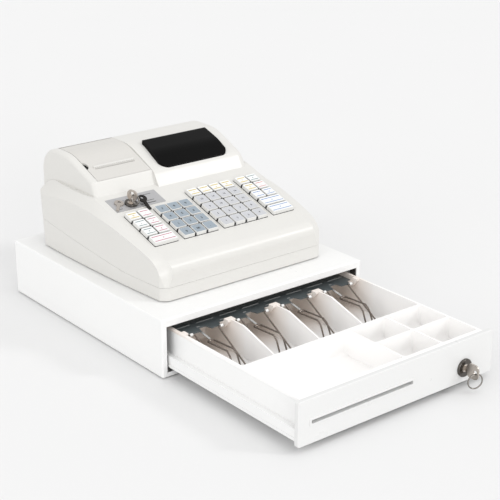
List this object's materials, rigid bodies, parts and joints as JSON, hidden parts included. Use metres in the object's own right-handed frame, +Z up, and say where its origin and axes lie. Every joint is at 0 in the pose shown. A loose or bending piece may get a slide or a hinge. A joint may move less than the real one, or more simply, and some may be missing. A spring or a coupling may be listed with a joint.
{
  "type": "cash register",
  "caption": "Counter cash register with sloping keyboard, receipt printer and display, standing on a wide till drawer with note bays, wire note clips and coin cups.",
  "frame": {"origin": "middle of the cabinet footprint, on the surface its feet stand on", "axes": "+X to the right seen from the front, +Y to the back, +Z up; the drawer opens towards -Y"},
  "size_m": [0.335, 0.6438, 0.2236],
  "materials": {
    "white_enamel": "smooth white powder coat",
    "zinc_steel": "zinc plated sheet",
    "roller_plastic": "plain nylon",
    "black_rubber": "dull rubber",
    "white_plastic": "fine grained moulding",
    "dark_steel": "dark blue-grey enamel",
    "spring_steel": "bare spring steel",
    "clip_wire": "dull oiled wire",
    "lock_metal": "dark plated die casting",
    "key_metal": "worn nickel",
    "ring_chrome": "polished split ring",
    "housing_plastic": "fine grained warm white moulding",
    "lid_plastic": "fine grained light grey moulding",
    "dark_plastic": "plain black moulding",
    "paper": "plain paper",
    "smoked_window": "polished smoked plastic",
    "board_green": "lacquered board",
    "digit_keys": "satin key caps",
    "grid_keys": "satin key caps",
    "function_keys": "satin key caps",
    "bare_aluminium": "satin plate"
  },
  "bodies": {
    "housing": {"cabinet_shell": "white_enamel", "cabinet_base_plate": "white_enamel", "cabinet_rails": "zinc_steel", "screws": "zinc_steel", "rubber_feet": "black_rubber", "latch_solenoid": "zinc_steel", "register_base": "housing_plastic", "register_cover": "housing_plastic", "printer_mechanism": "dark_plastic", "display_windows": "smoked_window", "circuit_boards": "board_green", "key_bed": "dark_plastic", "label_plate": "bare_aluminium", "mode_lock": "lock_metal", "spare_keys": "key_metal", "rear_sockets": "dark_plastic"},
    "drawer": {"drawer_pan": "white_enamel", "drawer_front": "white_enamel", "till_tray": "white_plastic", "clip_rail": "dark_steel", "clip_springs": "spring_steel", "drawer_lock": "lock_metal"},
    "front_rollers": {"cabinet_rollers": "roller_plastic"},
    "rear_rollers": {"drawer_rollers": "roller_plastic"},
    "latch": {"latch_lever": "zinc_steel"},
    "drawer_key_set": {"drawer_key": "key_metal"},
    "drawer_ring": {"drawer_key_ring": "ring_chrome"},
    "mode_key_set": {"mode_key": "key_metal"},
    "mode_ring": {"mode_key_ring": "ring_chrome"},
    "lid": {"printer_lid": "lid_plastic", "tear_bar": "zinc_steel"},
    "platen": {"platen_roller": "black_rubber"},
    "paper": {"paper_roll": "paper"},
    "clip_1": {"bill_clip_1": "clip_wire"},
    "clip_2": {"bill_clip_2": "clip_wire"},
    "clip_3": {"bill_clip_3": "clip_wire"},
    "clip_4": {"bill_clip_4": "clip_wire"},
    "key_left_wide_body": {"key_left_wide": "function_keys"},
    "keys_left_column_1_body": {"keys_left_column_1": "function_keys"},
    "keys_left_column_2_body": {"keys_left_column_2": "function_keys"},
    "key_digit_01_body": {"key_digit_01": "digit_keys"},
    "key_digit_02_body": {"key_digit_02": "digit_keys"},
    "key_digit_03_body": {"key_digit_03": "digit_keys"},
    "key_digit_04_body": {"key_digit_04": "digit_keys"},
    "key_digit_05_body": {"key_digit_05": "digit_keys"},
    "key_digit_06_body": {"key_digit_06": "digit_keys"},
    "key_digit_07_body": {"key_digit_07": "digit_keys"},
    "key_digit_08_body": {"key_digit_08": "digit_keys"},
    "key_digit_09_body": {"key_digit_09": "digit_keys"},
    "key_digit_10_body": {"key_digit_10": "digit_keys"},
    "key_digit_11_body": {"key_digit_11": "digit_keys"},
    "key_digit_12_body": {"key_digit_12": "digit_keys"},
    "keys_grid_column_1_body": {"keys_grid_column_1": "grid_keys"},
    "keys_grid_column_2_body": {"keys_grid_column_2": "grid_keys"},
    "keys_grid_column_3_body": {"keys_grid_column_3": "grid_keys"},
    "keys_grid_column_4_body": {"keys_grid_column_4": "grid_keys"},
    "key_right_wide_1_body": {"key_right_wide_1": "function_keys"},
    "key_right_wide_2_body": {"key_right_wide_2": "function_keys"},
    "keys_right_column_1_body": {"keys_right_column_1": "function_keys"},
    "keys_right_column_2_body": {"keys_right_column_2": "function_keys"}
  },
  "joints": [
    {"name": "drawer_slide", "type": "slide", "parent": "housing", "child": "drawer", "axis": [0, -1, 0], "range_m": [-0.25, 0]},
    {"name": "front_roller_spin", "type": "hinge", "parent": "housing", "child": "front_rollers", "pos_m": [0, -0.162, 0.0094], "axis": [1, 0, 0], "continuous": true},
    {"name": "rear_roller_spin", "type": "hinge", "parent": "drawer", "child": "rear_rollers", "pos_m": [0, -0.102, 0.0221], "axis": [1, 0, 0], "continuous": true},
    {"name": "latch_drop", "type": "hinge", "parent": "housing", "child": "latch", "pos_m": [-0.036, 0.1618, 0.044], "axis": [0, 1, 0], "range_deg": [0, 10.5], "stiffness_Nm_per_rad": 0.01, "springref_deg": -34.38},
    {"name": "drawer_key_turn", "type": "hinge", "parent": "drawer", "child": "drawer_key_set", "pos_m": [0.1093, -0.434, 0.028], "axis": [0, 1, 0], "range_deg": [0, 90]},
    {"name": "drawer_ring_swing", "type": "hinge", "parent": "drawer_key_set", "child": "drawer_ring", "pos_m": [0.1093, -0.4532, 0.028], "axis": [1, 0, 0], "range_deg": [-90, 35]},
    {"name": "mode_key_turn", "type": "hinge", "parent": "housing", "child": "mode_key_set", "pos_m": [-0.0904, -0.0063, 0.16923], "axis": [0, -0.2864, 0.9581], "range_deg": [-90, 0]},
    {"name": "printer_lid_lift", "type": "hinge", "parent": "housing", "child": "lid", "pos_m": [-0.07395, 0.1285, 0.2173], "axis": [-1, 0, 0], "range_deg": [0, 70]},
    {"name": "platen_spin", "type": "hinge", "parent": "housing", "child": "platen", "pos_m": [-0.07395, 0.0515, 0.1845], "axis": [1, 0, 0], "continuous": true},
    {"name": "paper_roll_spin", "type": "hinge", "parent": "housing", "child": "paper", "pos_m": [-0.07395, 0.10541, 0.1825], "axis": [1, 0, 0], "continuous": true},
    {"name": "mode_ring_swing", "type": "hinge", "parent": "mode_key_set", "child": "mode_ring", "pos_m": [-0.0904, -0.01099, 0.18489], "axis": [-0.9063, -0.4049, -0.121], "range_deg": [0, 90]},
    {"name": "bill_clip_lift_1", "type": "hinge", "parent": "drawer", "child": "clip_1", "pos_m": [-0.11085, -0.2, 0.05776], "axis": [-1, 0, 0], "range_deg": [0, 70], "stiffness_Nm_per_rad": 0.03, "springref_deg": -34.38, "deforming": ["clip_springs"]},
    {"name": "bill_clip_lift_2", "type": "hinge", "parent": "drawer", "child": "clip_2", "pos_m": [-0.03695, -0.2, 0.05776], "axis": [-1, 0, 0], "range_deg": [0, 70], "stiffness_Nm_per_rad": 0.03, "springref_deg": -34.38, "deforming": ["clip_springs"]},
    {"name": "bill_clip_lift_3", "type": "hinge", "parent": "drawer", "child": "clip_3", "pos_m": [0.03695, -0.2, 0.05776], "axis": [-1, 0, 0], "range_deg": [0, 70], "stiffness_Nm_per_rad": 0.03, "springref_deg": -34.38, "deforming": ["clip_springs"]},
    {"name": "bill_clip_lift_4", "type": "hinge", "parent": "drawer", "child": "clip_4", "pos_m": [0.11085, -0.2, 0.05776], "axis": [-1, 0, 0], "range_deg": [0, 70], "stiffness_Nm_per_rad": 0.03, "springref_deg": -34.38, "deforming": ["clip_springs"]},
    {"name": "key_left_wide_press", "type": "slide", "parent": "housing", "child": "key_left_wide_body", "axis": [0, 0.2864, -0.9581], "range_m": [0, 0.003], "stiffness_N_per_m": 120, "springref_m": -0.004},
    {"name": "keys_left_column_1_press", "type": "slide", "parent": "housing", "child": "keys_left_column_1_body", "axis": [0, 0.2864, -0.9581], "range_m": [0, 0.003], "stiffness_N_per_m": 120, "springref_m": -0.004},
    {"name": "keys_left_column_2_press", "type": "slide", "parent": "housing", "child": "keys_left_column_2_body", "axis": [0, 0.2864, -0.9581], "range_m": [0, 0.003], "stiffness_N_per_m": 120, "springref_m": -0.004},
    {"name": "key_digit_01_press", "type": "slide", "parent": "housing", "child": "key_digit_01_body", "axis": [0, 0.2864, -0.9581], "range_m": [0, 0.003], "stiffness_N_per_m": 120, "springref_m": -0.004},
    {"name": "key_digit_02_press", "type": "slide", "parent": "housing", "child": "key_digit_02_body", "axis": [0, 0.2864, -0.9581], "range_m": [0, 0.003], "stiffness_N_per_m": 120, "springref_m": -0.004},
    {"name": "key_digit_03_press", "type": "slide", "parent": "housing", "child": "key_digit_03_body", "axis": [0, 0.2864, -0.9581], "range_m": [0, 0.003], "stiffness_N_per_m": 120, "springref_m": -0.004},
    {"name": "key_digit_04_press", "type": "slide", "parent": "housing", "child": "key_digit_04_body", "axis": [0, 0.2864, -0.9581], "range_m": [0, 0.003], "stiffness_N_per_m": 120, "springref_m": -0.004},
    {"name": "key_digit_05_press", "type": "slide", "parent": "housing", "child": "key_digit_05_body", "axis": [0, 0.2864, -0.9581], "range_m": [0, 0.003], "stiffness_N_per_m": 120, "springref_m": -0.004},
    {"name": "key_digit_06_press", "type": "slide", "parent": "housing", "child": "key_digit_06_body", "axis": [0, 0.2864, -0.9581], "range_m": [0, 0.003], "stiffness_N_per_m": 120, "springref_m": -0.004},
    {"name": "key_digit_07_press", "type": "slide", "parent": "housing", "child": "key_digit_07_body", "axis": [0, 0.2864, -0.9581], "range_m": [0, 0.003], "stiffness_N_per_m": 120, "springref_m": -0.004},
    {"name": "key_digit_08_press", "type": "slide", "parent": "housing", "child": "key_digit_08_body", "axis": [0, 0.2864, -0.9581], "range_m": [0, 0.003], "stiffness_N_per_m": 120, "springref_m": -0.004},
    {"name": "key_digit_09_press", "type": "slide", "parent": "housing", "child": "key_digit_09_body", "axis": [0, 0.2864, -0.9581], "range_m": [0, 0.003], "stiffness_N_per_m": 120, "springref_m": -0.004},
    {"name": "key_digit_10_press", "type": "slide", "parent": "housing", "child": "key_digit_10_body", "axis": [0, 0.2864, -0.9581], "range_m": [0, 0.003], "stiffness_N_per_m": 120, "springref_m": -0.004},
    {"name": "key_digit_11_press", "type": "slide", "parent": "housing", "child": "key_digit_11_body", "axis": [0, 0.2864, -0.9581], "range_m": [0, 0.003], "stiffness_N_per_m": 120, "springref_m": -0.004},
    {"name": "key_digit_12_press", "type": "slide", "parent": "housing", "child": "key_digit_12_body", "axis": [0, 0.2864, -0.9581], "range_m": [0, 0.003], "stiffness_N_per_m": 120, "springref_m": -0.004},
    {"name": "keys_grid_column_1_press", "type": "slide", "parent": "housing", "child": "keys_grid_column_1_body", "axis": [0, 0.2864, -0.9581], "range_m": [0, 0.003], "stiffness_N_per_m": 120, "springref_m": -0.004},
    {"name": "keys_grid_column_2_press", "type": "slide", "parent": "housing", "child": "keys_grid_column_2_body", "axis": [0, 0.2864, -0.9581], "range_m": [0, 0.003], "stiffness_N_per_m": 120, "springref_m": -0.004},
    {"name": "keys_grid_column_3_press", "type": "slide", "parent": "housing", "child": "keys_grid_column_3_body", "axis": [0, 0.2864, -0.9581], "range_m": [0, 0.003], "stiffness_N_per_m": 120, "springref_m": -0.004},
    {"name": "keys_grid_column_4_press", "type": "slide", "parent": "housing", "child": "keys_grid_column_4_body", "axis": [0, 0.2864, -0.9581], "range_m": [0, 0.003], "stiffness_N_per_m": 120, "springref_m": -0.004},
    {"name": "key_right_wide_1_press", "type": "slide", "parent": "housing", "child": "key_right_wide_1_body", "axis": [0, 0.2864, -0.9581], "range_m": [0, 0.003], "stiffness_N_per_m": 120, "springref_m": -0.004},
    {"name": "key_right_wide_2_press", "type": "slide", "parent": "housing", "child": "key_right_wide_2_body", "axis": [0, 0.2864, -0.9581], "range_m": [0, 0.003], "stiffness_N_per_m": 120, "springref_m": -0.004},
    {"name": "keys_right_column_1_press", "type": "slide", "parent": "housing", "child": "keys_right_column_1_body", "axis": [0, 0.2864, -0.9581], "range_m": [0, 0.003], "stiffness_N_per_m": 120, "springref_m": -0.004},
    {"name": "keys_right_column_2_press", "type": "slide", "parent": "housing", "child": "keys_right_column_2_body", "axis": [0, 0.2864, -0.9581], "range_m": [0, 0.003], "stiffness_N_per_m": 120, "springref_m": -0.004}
  ],
  "couplings": [
    {"joint": "front_roller_spin", "follows": "drawer_slide", "rad_per_m": 200},
    {"joint": "rear_roller_spin", "follows": "drawer_slide", "rad_per_m": 153.85}
  ]
}
